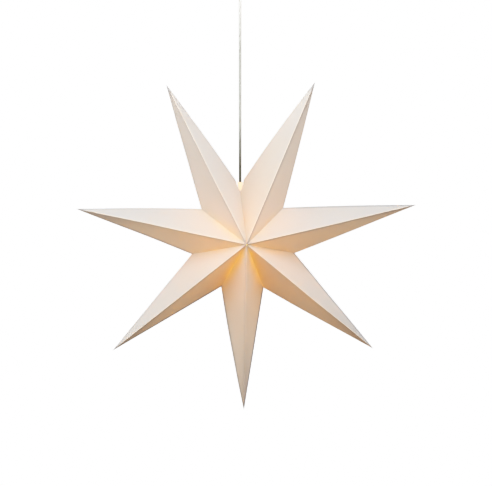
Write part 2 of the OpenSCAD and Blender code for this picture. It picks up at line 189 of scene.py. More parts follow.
# %% The room and the soft lights
SKY_ABOVE = (0.37, 0.39, 0.405)
SKY_BELOW = (0.65, 0.42, 0.235)
WHITE = 1.4
KEY_POWER, LEFT_POWER, RIGHT_POWER = 23.5, 16.5, 9.5
KEY_FROM = Vector((0, -1.2, 1.12))
LEFT_FROM = Vector((-1.9, -0.7, 0.3))
RIGHT_FROM = Vector((1.9, -0.7, 0))


def white_room():
    """White to the eye. To the objects its colour goes from below to above along a smooth step of height."""
    tree = Tree(bpy.data.worlds.new("studio_room"))
    way = tree.node("ShaderNodeTexCoord", {}, {}, "Generated")
    up = tree.node("ShaderNodeSeparateXYZ", {}, {0: way}, 2)
    colour = tree.mix(up.smooth(-0.35, 0.8), SKY_BELOW, SKY_ABOVE)
    seen = tree.node("ShaderNodeLightPath", {}, {}, "Is Camera Ray")
    room = tree.node("ShaderNodeBackground", {}, {"Color": colour, "Strength": 1.0})
    plain = tree.node("ShaderNodeBackground", {}, {"Color": (1, 1, 1, 1), "Strength": WHITE})
    both = tree.node("ShaderNodeMixShader", {}, {0: seen, 1: room, 2: plain})
    tree.node("ShaderNodeOutputWorld", {}, {"Surface": both})
    bpy.context.scene.world = tree.owner


def soft_light(place, power, size, colour):
    """A square light of that size at place, turned to the star's centre."""
    lamp = bpy.data.lights.new("soft_light", "AREA")
    lamp.energy, lamp.size, lamp.color = power, size, colour
    holder = bpy.data.objects.new("soft_light", lamp)
    holder.location = STAR_CENTRE + place
    holder.rotation_euler = place.to_track_quat("Z", "Y").to_euler()
    holder.visible_camera = False
    bpy.context.scene.collection.objects.link(holder)


white_room()
soft_light(KEY_FROM, KEY_POWER, 1.1, (0.97, 0.99, 1.0))
soft_light(LEFT_FROM, LEFT_POWER, 1.4, (0.85, 0.95, 1.0))
soft_light(RIGHT_FROM, RIGHT_POWER, 1.4, (0.92, 0.97, 1.0))
print("soft lights:", KEY_POWER, LEFT_POWER, RIGHT_POWER, "W")

# %% [markdown]
# The floor is plain and pale, far below. Film rolls its highlights off softly, so the view has such a
# curve: below half of white it changes almost nothing, and only 1.4 times white is quite white. A ready
# film look would do that too, but it changes the middle tones as well.

# %% The floor and the highlight curve
HIGHLIGHTS = [(0.25, 0.25), (0.5, 0.49), (0.75, 0.68), (1.0, 0.84), (1.2, 0.935)]
FLOOR_Z, FLOOR_REACH = -2.5, 6


def pale_floor(z, reach):
    """A square floor that only the eye sees, so that it sends no light up into the star."""
    corners = [(-reach, -reach, z), (reach, -reach, z), (reach, reach, z), (-reach, reach, z)]
    mesh = bpy.data.meshes.new("pale_floor")
    mesh.from_pydata(corners, [], [(0, 1, 2, 3)])
    floor = bpy.data.objects.new("pale_floor", mesh)
    bpy.context.scene.collection.objects.link(floor)
    tree = Tree(bpy.data.materials.new("pale_floor"))
    glow = tree.node("ShaderNodeEmission", {}, {"Color": (1, 1, 1, 1), "Strength": WHITE})
    mesh.materials.append(tree.surface(glow))
    floor.visible_diffuse = floor.visible_glossy = floor.visible_transmission = False
    floor.visible_shadow = False


def roll_off(view):
    """The view's curve: through (brightness / WHITE, shown) for each pair of HIGHLIGHTS."""
    view.view_transform = "Standard"
    view.use_curve_mapping = True
    view.curve_mapping.white_level = (WHITE, WHITE, WHITE)
    points = view.curve_mapping.curves[3].points
    for bright, shown in HIGHLIGHTS:
        points.new(bright / WHITE, shown)
    view.curve_mapping.update()


pale_floor(FLOOR_Z, FLOOR_REACH)
roll_off(bpy.context.scene.view_settings)
print("floor at", FLOOR_Z, "m, quite white at", WHITE)

# %% [markdown]
# The lamp cord hangs straight from the terminal block in the ceiling cup to the contact carrier in the
# lamp holder. It is a round tube carried along its route. Two cores lie twisted inside the sheath, so
# the tube swells a hair's breadth where they lie side by side, and that swelling winds down the cord.
# A curve with a round bevel would be quicker to make, but it has no such swelling.

# %% The cord along its route
CORD_D = 5.5 * MM
CORD_ROUTE = [(0, 0, z * MM) for z in (-17, *range(-32, -573, -15), -588, -605)]
CORE_TWIST = 2 * math.pi / (34 * MM)
CORE_SWELL = 0.012


def mesh_piece(name, points, faces, material):
    """A smooth mesh from points and an array or list of faces, at the origin, with one material."""
    mesh = bpy.data.meshes.new(name)
    mesh.from_pydata([tuple(p) for p in points.tolist()], [], [tuple(f) for f in faces])
    mesh.materials.append(material)
    mesh.polygons.foreach_set("use_smooth", [True] * len(mesh.polygons))
    mesh.update()
    piece = bpy.data.objects.new(name, mesh)
    bpy.context.scene.collection.objects.link(piece)
    return piece


def ring_faces(rows, columns):
    """Quads between the rows of a grid whose columns go right round, as an array."""
    row, column = np.meshgrid(np.arange(rows - 1), np.arange(columns), indexing="ij")
    here, beside = row * columns + column, row * columns + (column + 1) % columns
    return np.stack([here, beside, beside + columns, here + columns], -1).reshape(-1, 4)


def cord_tube(route, diameter, sides=24, per_step=6):
    """A tube down the route: point = route + r (cos a, sin a, 0). The cores' swelling winds round it, so
    r = d/2 (1 - CORE_SWELL (1 - cos 2(a - CORE_TWIST z)))."""
    stations = np.array(route)
    at = np.linspace(0, len(stations) - 1, (len(stations) - 1) * per_step + 1)
    line = np.stack([np.interp(at, np.arange(len(stations)), stations[:, i]) for i in range(3)], -1)
    angle = np.linspace(0, 2 * np.pi, sides, endpoint=False)
    swell = 1 - CORE_SWELL * (1 - np.cos(2 * (angle[None, :] - CORE_TWIST * line[:, 2:])))
    ring = np.stack([np.cos(angle), np.sin(angle), 0 * angle], -1)
    points = line[:, None, :] + diameter / 2 * swell[..., None] * ring[None, :, :]
    ends = [list(range(sides))[::-1], list(range((len(line) - 1) * sides, len(line) * sides))]
    faces = ring_faces(len(line), sides).tolist()
    if line[-1, 2] < line[0, 2]:
        faces, ends = [f[::-1] for f in faces], [e[::-1] for e in ends]
    return points.reshape(-1, 3), faces + ends


def sheath():
    """Grey cord sheath: faint cloudiness, drawing marks along it and a soft gloss. It is paler near the
    ceiling, painted light where more light falls on it, and darkest where it goes into the star."""
    tree = Tree(bpy.data.materials.new("cord_sheath"))
    cloud = tree.noise(60, 3)
    stretched = tree.node("ShaderNodeMapping", {}, {"Vector": tree.place(), "Scale": (1, 1, 0.06)})
    marks = tree.noise(1400, 2, stretched)
    height = tree.height()
    colour = tree.mix(cloud, (0.43, 0.47, 0.46), (0.49, 0.53, 0.52))
    # Painted light: the sheath is paler towards the ceiling, where more light falls on it.
    colour = tree.mix(height.smooth(-0.25, -0.10), colour, (0.77, 0.82, 0.83))
    # Darker towards where the cord goes into the star.
    colour = tree.mix(1 - height.smooth(-0.51, -0.36), colour, (0.085, 0.085, 0.06))
    gloss = 0.36 + 0.12 * marks
    shader = tree.principled(base_color=colour, roughness=gloss, normal=tree.bump(marks, 0.05 * MM, 0.4))
    return tree.surface(shader)


cord = mesh_piece("lamp_cord", *cord_tube(CORD_ROUTE, CORD_D), sheath())
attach(cord, "root")
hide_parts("cord")

# %% [markdown]
# Each arm is one folded sheet: two facets in front, two behind, a sharp ridge between the facets of a
# pair, and a tab along each valley that is glued to the next arm's tab. A flat triangle per facet would
# look like tin. Paper has soft folds and bowed facets, so the sheet is a grid that is fine near its
# folds and coarse between them, and each fold and each bow is a sum that moves the grid's points.

# %% The corners of the star
ARM_NAMES = ["bottom", "lower_right", "right", "upper_right", "upper_left", "left", "lower_left"]
ARM_COUNT = len(ARM_NAMES)
ARM_STEP = 360 / ARM_COUNT
CLOSING_SEAM = 3
HUB_DEPTH = 110 * MM
TIP_REACH = (387 + np.array([-3, -3, 12, 3, 2, -7, -3])) * MM
TIP_TURN = np.array([0, -1.33, -1.3, 1.5, 0.6, 1.7, 1.17])
NOTCH_REACH = (117 + np.array([-2, 1, -1, 7, 2, 2.5, -2.5])) * MM
NOTCH_TURN = np.array([-3, -1, 1, 4, 1, 1, -0.5])
PAPER = 0.3 * MM
HUB = np.array([[STAR_CENTRE.x, -HUB_DEPTH, STAR_CENTRE.z], [STAR_CENTRE.x, HUB_DEPTH, STAR_CENTRE.z]])


def on_star(reach, angle):
    """The place on the star's middle plane at that distance and angle from its centre."""
    angle = np.radians(angle)
    return np.array(STAR_CENTRE) + np.array([reach * np.cos(angle), 0, reach * np.sin(angle)])


def tip(k):
    return on_star(TIP_REACH[k], -90 + k * ARM_STEP + TIP_TURN[k])


def notch(k):
    return on_star(NOTCH_REACH[k], -90 + (k + 0.5) * ARM_STEP + NOTCH_TURN[k])


for k, name in enumerate(ARM_NAMES):
    low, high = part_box("arm_" + name)
    print(name, "tip", tip(k).round(4), "solid", tuple(round(x, 4) for x in (*low, *high)))

# %% [markdown]
# A point of a facet has two numbers, from the ray that runs from the hub through it to the arm's outer
# edge: `s` says where the ray meets the edge, from -1 at one notch through 0 at the tip to 1 at the other
# notch, and `t` says how far along the ray the point lies. So one facet pair is one grid, and its ridge,
# its edges and its valleys are all lines of that grid. The other choice, one flat mesh per facet, would
# need welding at every fold.

# %% The arm's grid
HUB_GAP_R = 0.6 * MM
SNIP_D, SNIP_REACH = 19 * MM, np.array([10.8, 18.5]) * MM
FOLD_R = {"ridge": 0.7 * MM, "edge": 0.15 * MM, "valley": 0.35 * MM}
SOFT_CORNER = 2.5 * MM
HUB_CALM = 12 * MM
EVEN_SPREAD = 0.06
RIDGE_STEPS = np.array([0, .0015, .004, .009, .018, .035, .07, .12, .2, .3, .4, .5, .6, .7, .8, .88, .94, 1])
SNIP_ANGLES = np.radians([0, 12, 25, 38, 50, 60, 69, 77, 82, 86, 88.3, 90])
ROW_STEPS = np.array([0, .006, .015, .03, .055, .09, .14, .2, .28, .36, .44, .52, .6, .68, .76, .83, .89, .93,
                      .955, .972, .983, .9905, .995, .9975, .999, 1])


def unit(v):
    return v / np.linalg.norm(v, axis=-1, keepdims=True)


def off_line(points, start, end):
    """Distance from the line through start and end: the length of (point - start) x direction."""
    return np.linalg.norm(np.cross(points - start, unit(end - start)), axis=-1)


def facet_normal(k, half, side):
    """The outward normal of a facet: (tip - hub) x (notch - hub), turned away from the middle plane."""
    across = np.cross(tip(k) - HUB[half], notch(k - 1 + side) - HUB[half])
    return unit(across * np.sign(across[1]) * (-1, 1)[half])


def seam_normal(k, side):
    """The normal of a seam's plane, pointing out of arm k: the hub axis crossed with the way to the notch."""
    out = unit(notch(k - 1 + side) - np.array(STAR_CENTRE))
    return np.array([-out[2], 0, out[0]]) * (-1, 1)[side]


def soft_fold(distance, normal_a, normal_b, radius):
    """A fold between sheets with outward normals a and b, half an angle h apart from their bisector.
    Points sink along the inward bisector by tan h (sqrt(x^2 + r^2) - x), where x = distance cos h."""
    bisector = normal_a + normal_b
    cos_h = np.linalg.norm(bisector, axis=-1) / 2
    tan_h = np.sqrt(1 - cos_h ** 2) / cos_h
    x = distance * cos_h
    sink = tan_h * (np.sqrt(x ** 2 + radius ** 2) - x)
    return -unit(bisector) * sink[..., None]


def smooth_step(x):
    x = np.clip(x, 0, 1)
    return x * x * (3 - 2 * x)


print("grid:", 2 * (len(RIDGE_STEPS) + len(SNIP_ANGLES)) - 3, "columns,", 2 * len(ROW_STEPS), "rows")

# %% [markdown]
# Hands folded this star, so no facet is quite flat and no fold quite straight. One slow wave moves the
# whole star, which keeps neighbouring arms together. Each facet then has a bow of its own, deepest in
# the middle and nothing at its folds, and a few weak ripples. The outer edges bow outwards too, each by
# its own few millimetres halfway between tip and notch. A Displace modifier would be quicker, but it
# moves points along their normals, and that would open the seams between neighbouring arms.

# %% Bows, ripples and the slow wave
chance = np.random.default_rng(11)
BOW = chance.uniform(-2.2, 1.0, (ARM_COUNT, 2, 2)) * MM
RIPPLE_WAYS = unit(chance.normal(size=(5, 3)))
RIPPLE_LENGTHS = chance.uniform(28, 80, 5) * MM
RIPPLE_PHASES = chance.uniform(0, 2 * np.pi, (ARM_COUNT, 2, 5))
RIPPLE_DEPTH, RIPPLE_FADE = 0.16 * MM, 9 * MM
EDGE_BOW = np.array([[2.4, 0], [0.4, 0.7], [0.4, 2.0], [1.0, 3.2], [1.8, 0.9], [1.5, 0.1], [0.5, 0]]) * MM
WAVE_WAYS = unit(chance.normal(size=(4, 3)))
WAVE_MOVES = unit(chance.normal(size=(4, 3)))
WAVE_LENGTHS = np.array([260, 190, 150, 330]) * MM
WAVE_DEPTH = 0.35 * MM


def slow_wave(points):
    """The sum of four waves, each d sin(2 pi (way . point) / length) along its own direction."""
    turns = points @ WAVE_WAYS.T / WAVE_LENGTHS
    return (np.sin(2 * np.pi * turns) * WAVE_DEPTH) @ WAVE_MOVES


def ripples(points, k, half):
    """The sum of five weak waves, each with the phase of this arm's front or back."""
    turns = points @ RIPPLE_WAYS.T / RIPPLE_LENGTHS
    return RIPPLE_DEPTH * np.sin(2 * np.pi * turns + RIPPLE_PHASES[k, half]).sum(-1)


def arm_skin(k, half, s, t):
    """Points of arm k's front (half 0) or back (half 1), and their distances from ridge, edge and valley.
    A flat point is hub + t (edge - hub), with edge = tip + |s| (notch - tip). Soft folds, the facet's bow
    27 (1 - t) t^2 (1 - |s|) |s| and its ripples then move it. The edge's bow 4 (1 - |s|) |s| t^3 moves it
    outwards, square to the edge, and the slow wave moves all."""
    side = (s >= 0).astype(int)
    hub, top = HUB[half], tip(k)
    ends = np.stack([notch(k - 1), notch(k)])[side]
    reach = np.abs(s)[..., None]
    flat = hub + t[..., None] * (top + reach * (ends - top) - hub)
    front, back = (np.stack([facet_normal(k, h, i) for i in (0, 1)]) for h in (half, 1 - half))
    seams = np.stack([seam_normal(k, i) for i in (0, 1)])
    from_axis = np.hypot(flat[..., 0] - hub[0], flat[..., 2] - hub[2])
    calm = np.clip(from_axis / HUB_CALM, 0.05, 1)
    ridge, edge = off_line(flat, hub, top), off_line(flat, top, ends)
    valley = off_line(flat, hub, ends)
    corner = smooth_step(edge / SOFT_CORNER)[..., None]
    moved = soft_fold(ridge, front[0] + 0 * flat, front[1], FOLD_R["ridge"] * calm) * corner
    moved += soft_fold(valley, front[side], seams[side], FOLD_R["valley"] * calm) * corner
    moved += soft_fold(edge, front[side], back[side], FOLD_R["edge"] * calm)
    nearest = np.minimum(np.minimum(ridge, edge), valley)
    bow = 27 * (1 - t) * t ** 2 * (1 - np.abs(s)) * np.abs(s) * BOW[k, half][side]
    wobble = ripples(flat, k, half) * smooth_step(nearest / RIPPLE_FADE)
    moved += front[side] * (bow + wobble)[..., None]
    out = unit(np.cross(ends - top, [0, 1, 0])) * np.where(side == 0, 1, -1)[..., None]
    moved += out * (4 * (1 - np.abs(s)) * np.abs(s) * t ** 3 * EDGE_BOW[k][side])[..., None]
    return flat + moved + slow_wave(flat), np.stack([ridge, edge, valley], -1)


print("bows in mm:", (BOW[:, 0] / MM).round(1).tolist())

# %% [markdown]
# Each tab lies in the plane of its seam, which holds the hub axis. It is nine millimetres wide, stops
# short of the axis, and is slit where the front tab and the back tab meet. At the closing seam it stops
# at the snipped hole, where the cord comes out of the star.

# %% The tabs and the snipped hole
TAB_W, TAB_TRIM, TAB_SLIT, GLUE = 9 * MM, 2 * MM, 0.5 * MM, 0.04 * MM
TAB_LEAST = 0.2 * MM
TAB_STEPS = np.array([0.05, 0.14, 0.35, 0.65, 1])


def is_closing(k, side):
    return (k - 1 + side) % ARM_COUNT == CLOSING_SEAM


def snip_share(k, side):
    """The part of the outer edge that the snipped hole takes, out of its length from notch to tip. Where
    there is no hole, EVEN_SPREAD only spaces the columns."""
    if not is_closing(k, side):
        return EVEN_SPREAD
    end, far = notch(k - 1 + side), tip(k)
    return abs(math.copysign(SNIP_D / 2, far[0]) - end[0]) / abs(far[0] - end[0])


def columns(k, half, side):
    """|s| and the last t of each column. Round the hole, s = 1 - b cos p and t = 1 - a sin p."""
    b = snip_share(k, side)
    a = SNIP_REACH[half] / HUB_DEPTH if is_closing(k, side) else 0
    shares = np.concatenate([RIDGE_STEPS[:-1] * (1 - b), 1 - b * np.cos(SNIP_ANGLES)])
    lasts = np.concatenate([np.ones(len(RIDGE_STEPS) - 1), 1 - a * np.sin(SNIP_ANGLES)])
    return shares, lasts


def tab_skin(k, half, side, t):
    """Points of a tab: valley point + rho w, where w lies in the seam's plane, square to the valley.
    rho grows to the tab's width, or to where the tab meets its slit or its trim, whichever is less."""
    hub, end, inward = HUB[half], notch(k - 1 + side), -seam_normal(k, side)
    valley = end - hub
    length, reach = np.linalg.norm(valley), np.linalg.norm(valley[[0, 2]])
    lean = HUB_DEPTH / reach
    across = np.array([-valley[0] * lean, math.copysign(reach, -hub[1]), -valley[2] * lean]) / length
    slit = SNIP_REACH[half] if is_closing(k, side) else TAB_SLIT
    to_slit = (HUB_DEPTH * (1 - t) - slit) * length / reach
    to_trim = (reach * t - TAB_TRIM) * length / HUB_DEPTH
    widest = np.clip(np.minimum(np.minimum(to_slit, to_trim), TAB_W), 0, None)
    rho = widest[:, None] * TAB_STEPS
    flat = hub + t[:, None, None] * valley + rho[..., None] * across
    calm = np.clip(reach * t / HUB_CALM, 0.05, 1)[:, None]
    moved = soft_fold(rho, facet_normal(k, half, side), -inward, FOLD_R["valley"] * calm + 0 * rho)
    gap = inward * GLUE * np.clip(rho / MM, 0, 1)[..., None]
    return flat + moved + gap + slow_wave(flat), widest


for k in (CLOSING_SEAM, CLOSING_SEAM + 1):
    print(ARM_NAMES[k], "snip", [round(snip_share(k, side), 3) for side in (0, 1)])

# %% [markdown]
# Each point of the paper keeps seven marks, which the paper's material reads: how much painted highlight or
# painted shade it has beside a ridge, how much painted shade it has at an edge or tip, how much its facet is
# painted warmer or paler for the light it gets, how much lamp light leaks at its seam, in a fine line and in
# a wider band, and whether it is the little tongue that stands at the cord's hole. Marks on the points follow
# every fold exactly. Noise alone could not know where a fold is.
#
# SEAM_LEAK has one entry per seam, and seam k lies between arm k and the next. The other tables have one
# entry per arm, in the order of ARM_NAMES. Where an entry is a pair, its first number is for the facet
# towards the arm before, and its second for the facet towards the arm after.

# %% The marks on the paper
MARK_NAMES = ["rubbed", "shaded", "edge", "leak_line", "leak_band", "facet_light_tint", "lamp_lit"]
# Widths of the painted ridge highlight, the painted ridge shade, the painted edge shade, the leak line and
# the leak band.
RIDGE_HIGHLIGHT_W, SHADED_W, EDGE_W, LINE_W, BAND_W = 2.4 * MM, 5.0 * MM, 5.0 * MM, 1.5 * MM, 13 * MM
SEAM_LEAK = np.array([1.0, 0.35, 0.25, 0.2, 0.5, 0.35, 1.0])
# How much painted shade lies along each facet's outer edge.
EDGE_GREY = np.array([[0.7, 1.15], [0.2, 0.7], [0.15, 0.45], [0.2, 0], [0.1, 0.25], [0.15, 0.65], [0.15, 1]])
# How much painted shade lies under each arm's ridge.
RIDGE_GREY = np.array([0.6, 0.6, 2.0, 1.6, 0.9, 0.8, 1.5])
# Painted light and shade: each facet painted warmer (over 0) or paler (under 0), at the hub and then at the
# tip.
LIGHT_TINT_IN = np.array([[0, 0], [0, 0], [0.45, 0], [0.35, 0.75], [0.15, 0.35], [0.25, 0.3], [0, -0.2]])
LIGHT_TINT_OUT = np.array([[0.7, 0.3], [0.9, 0], [0.3, 0], [0, 0.1], [-0.2, -0.3], [0, 0], [-0.4, -0.2]])
# How much painted shade each facet gets towards its tip.
TIP_GREY = np.array([[0.35, 0.5], [0.6, 0.3], [0.4, 0], [0.2, 0], [0, 0], [0, 0.6], [0, 0.6]])


def bell(distance, width):
    """exp(-(d / w)^2): 1 at no distance, and nearly nothing at twice the width."""
    return np.exp(-(distance / width) ** 2)


def paper_marks(k, half, s, t, distances):
    """Seven marks at each point. The ridge's painted highlight, the ridge's painted shade, the leak line and
    the leak band are bells exp(-(d / w)^2) of a distance, and the painted shade at the edge is the flatter
    exp(-(d / w)^4). How far a facet looks up decides whether its side of the ridge gets the painted highlight
    or the painted shade. EDGE_GREY and TIP_GREY say how much painted shade each facet's edge and tip get, and
    over its last tenth every arm turns quite grey. The leaks fade in from the hub and fade out to 0.4 at the
    notch. The painted tint of each facet, warmer or paler for the light it gets, goes evenly from its value
    at the hub and the valleys to its value at the tip. The last mark is the tongue's."""
    ridge, edge, valley = np.moveaxis(distances, -1, 0)
    side = (s >= 0).astype(int)
    up = np.stack([facet_normal(k, half, i)[2] for i in (0, 1)])
    lit = (side == int(up[1] > up[0])) * smooth_step(12 * t)
    leak = SEAM_LEAK[(k - 1 + side) % ARM_COUNT] * smooth_step(6 * t) * (1 - 0.6 * smooth_step(2 * t - 1))
    # Painted shade: along the outer edge (half as much behind) and towards each tip.
    grey = EDGE_GREY[k][side] * bell(edge ** 2, EDGE_W ** 2) * (1, 0.5)[half]
    reach = t * (1 - np.abs(s))
    grey = np.maximum(grey, TIP_GREY[k][side] * smooth_step((reach - 0.45) / 0.55))
    grey = np.maximum(grey, smooth_step((reach - 0.9) / 0.1))
    # Painted shade under the ridge, on the facet that looks down more.
    shaded = RIDGE_GREY[k] * (1 - lit) * bell(ridge, SHADED_W)
    # Painted tint per facet, warmer or paler for the light it gets.
    facet_light_tint = LIGHT_TINT_IN[k][side] * (1 - reach) + LIGHT_TINT_OUT[k][side] * reach
    # Painted highlight along the ridge, on the facet that looks up more.
    return np.stack([lit * bell(ridge, RIDGE_HIGHLIGHT_W) * smooth_step(up.max() / 0.5), shaded,
                     grey, leak * bell(valley, LINE_W), leak * bell(valley, BAND_W), facet_light_tint, 0 * t], -1)


print("marks:", ", ".join(MARK_NAMES))

# %% [markdown]
# The sheet of an arm is four grids side by side in front and four behind: tab, facet, facet, tab. Where
# a tab has run out to nothing, its quads are left out, so that no stray faces stay.

# %% Half an arm's sheet
def every_quad(grid):
    """True for each quad of a grid of points."""
    return np.ones((grid.shape[0] - 1, grid.shape[1] - 1), bool)


def sheet_faces(grid, keep, outward):
    """Quads of a grid of points where keep is true. They are wound so that the one half-way along the
    rows and a quarter of the way across faces outward."""
    rows, cols = grid.shape[:2]
    row, col = np.meshgrid(np.arange(rows - 1), np.arange(cols - 1), indexing="ij")
    here = row * cols + col
    quads = np.stack([here, here + 1, here + cols + 1, here + cols], -1)[keep]
    i, j = rows // 2, cols // 4
    face = np.cross(grid[i, j + 1] - grid[i, j], grid[i + 1, j] - grid[i, j])
    return quads if face @ outward > 0 else quads[:, ::-1]


def half_sheet(k, half):
    """The front or back of arm k with its two tabs: points, quads and marks."""
    (left, left_last), (right, right_last) = columns(k, half, 0), columns(k, half, 1)
    s = np.concatenate([-left[::-1], right[1:]])
    last = np.concatenate([left_last[::-1], right_last[1:]])
    ends = np.stack([notch(k - 1), notch(k)])[(s >= 0).astype(int)]
    outer = tip(k) + np.abs(s)[:, None] * (ends - tip(k)) - np.array(STAR_CENTRE)
    first = HUB_GAP_R / np.hypot(outer[:, 0], outer[:, 2])
    t = first + (last - first) * ROW_STEPS[:, None]
    skin, distances = arm_skin(k, half, s + 0 * t, t)
    marks = paper_marks(k, half, s + 0 * t, t, distances)
    tabs = [tab_skin(k, half, side, t[:, -side]) for side in (0, 1)]
    grid = np.concatenate([tabs[0][0][:, ::-1], skin, tabs[1][0]], 1)
    plain = np.zeros((len(ROW_STEPS), len(TAB_STEPS), marks.shape[-1]))
    marks = np.concatenate([plain, marks, plain], 1)
    keep = every_quad(grid)
    count = len(TAB_STEPS)
    for (_, widest), part in zip(tabs, (np.s_[:, :count], np.s_[:, -count:])):
        keep[part] = (np.maximum(widest[1:], widest[:-1]) > TAB_LEAST)[:, None]
    return grid, sheet_faces(grid, keep, facet_normal(k, half, 0)), marks


print("half a sheet:", half_sheet(0, 0)[0].shape[:2], "rows and columns of points")

# %% [markdown]
# A lap along the back ridge closes each arm. It is the arm's own skin once more, set in by a little more than
# the paper's thickness, so that it follows every bow. The paper that was snipped at the cord's hole stands up
# as a narrow tongue in front of the cord. The lamp shines through it, and a painted glow makes it shine
# brighter, as if the lamp lit it from close by.

# %% The lap and the snipped tongue
LAP_W, LAP_INSET, LAP_FROM, LAP_TO = 10 * MM, 1 * MM, 0.1, 0.85
TONGUE_H, TONGUE_SINK, TONGUE_LEAN, TONGUE_BULGE = 21.5 * MM, 0.4 * MM, 5.2 * MM, 1 * MM


def lap_strip(k):
    """The lap inside the back ridge: the arm's own skin for |s| = w / (t h), where w is the distance from
    the ridge and h is the notch's, set in by a little more than the paper's thickness."""
    hub, top, end = HUB[1], tip(k), notch(k)
    height = off_line(end, hub, top)
    t = np.linspace(LAP_FROM, LAP_TO, 40)
    width = LAP_W * smooth_step((t - LAP_FROM) / 0.04) * (1 - 0.4 * t) * smooth_step((LAP_TO - t) / 0.08)
    w = LAP_INSET + np.linspace(0, 1, 6) * np.clip(width[:, None], 0.1 * MM, None)
    skin, _ = arm_skin(k, 1, w / (t[:, None] * height), t[:, None] + 0 * w)
    normal = facet_normal(k, 1, 1)
    grid = skin - normal * PAPER * 1.1
    plain = np.zeros((*grid.shape[:2], len(MARK_NAMES)))
    return grid, sheet_faces(grid, every_quad(grid), normal), plain


def snipped_tongue():
    """The paper that was snipped out for the cord is not cut off. It stands up in front of the cord as a
    narrow tongue, from its hinge at the front end of the hole (v = 0) to its top before the cord (v = 1).
    Half its width is (0.8 + 5.8 sin^0.9(90 deg v)) mm. It leans back to the cord by TONGUE_LEAN v^0.7 and
    bulges forward by TONGUE_BULGE (1 - u^2), with u from -1 at its one side to 1 at the other."""
    seam = notch(CLOSING_SEAM) - np.array(STAR_CENTRE)
    hinge = np.array(STAR_CENTRE) + seam * (1 - SNIP_REACH[0] / HUB_DEPTH)
    v, u = np.meshgrid(np.linspace(0, 1, 14), np.linspace(-1, 1, 11), indexing="ij")
    half_width = (0.8 + 5.8 * np.sin(np.pi / 2 * v) ** 0.9) * MM
    x = hinge[0] * (1 - v) + u * half_width
    y = -SNIP_REACH[0] + TONGUE_LEAN * v ** 0.7 - TONGUE_BULGE * (1 - u ** 2)
    z = hinge[2] - TONGUE_SINK + TONGUE_H * v
    grid = np.stack([x, y, z], -1)
    marks = np.zeros((*grid.shape[:2], len(MARK_NAMES)))
    # The tongue's mark paints lamp light on it: a glow that fades in from the hinge and is fainter to one
    # side and at its edges.
    marks[..., -1] = smooth_step(v * 4) * (1 - 0.35 * np.clip(u, 0, 1)) * (1 - 0.5 * u ** 2)
    return grid, sheet_faces(grid, every_quad(grid), np.array([0, -1, 0])), marks


print("the tongue's top is at", snipped_tongue()[0][-1, 5].round(4))

# %% [markdown]
# Lit paper shows two lights at once: the daylight that its face throws back, and the lamp light that comes
# through it. A Principled shader gives the first. Two Translucent shaders give the second, a golden one along
# the glued seams and an amber one elsewhere. Mix Shaders set the shares. Transmission would turn the paper to
# glass, and emission alone would glow the same wherever the lamp is, so emission is kept for painted light: a
# faint highlight along the ridges, the fine leaks at the seams and the little tongue's glow.

# %% White star paper
# Painted warm light and shade: the paper is warmer round a point 60 mm below the star's centre.
WARM_LIGHT_AT, WARM_LIGHT_R = STAR_CENTRE - Vector((0, 0, 60 * MM)), 190 * MM


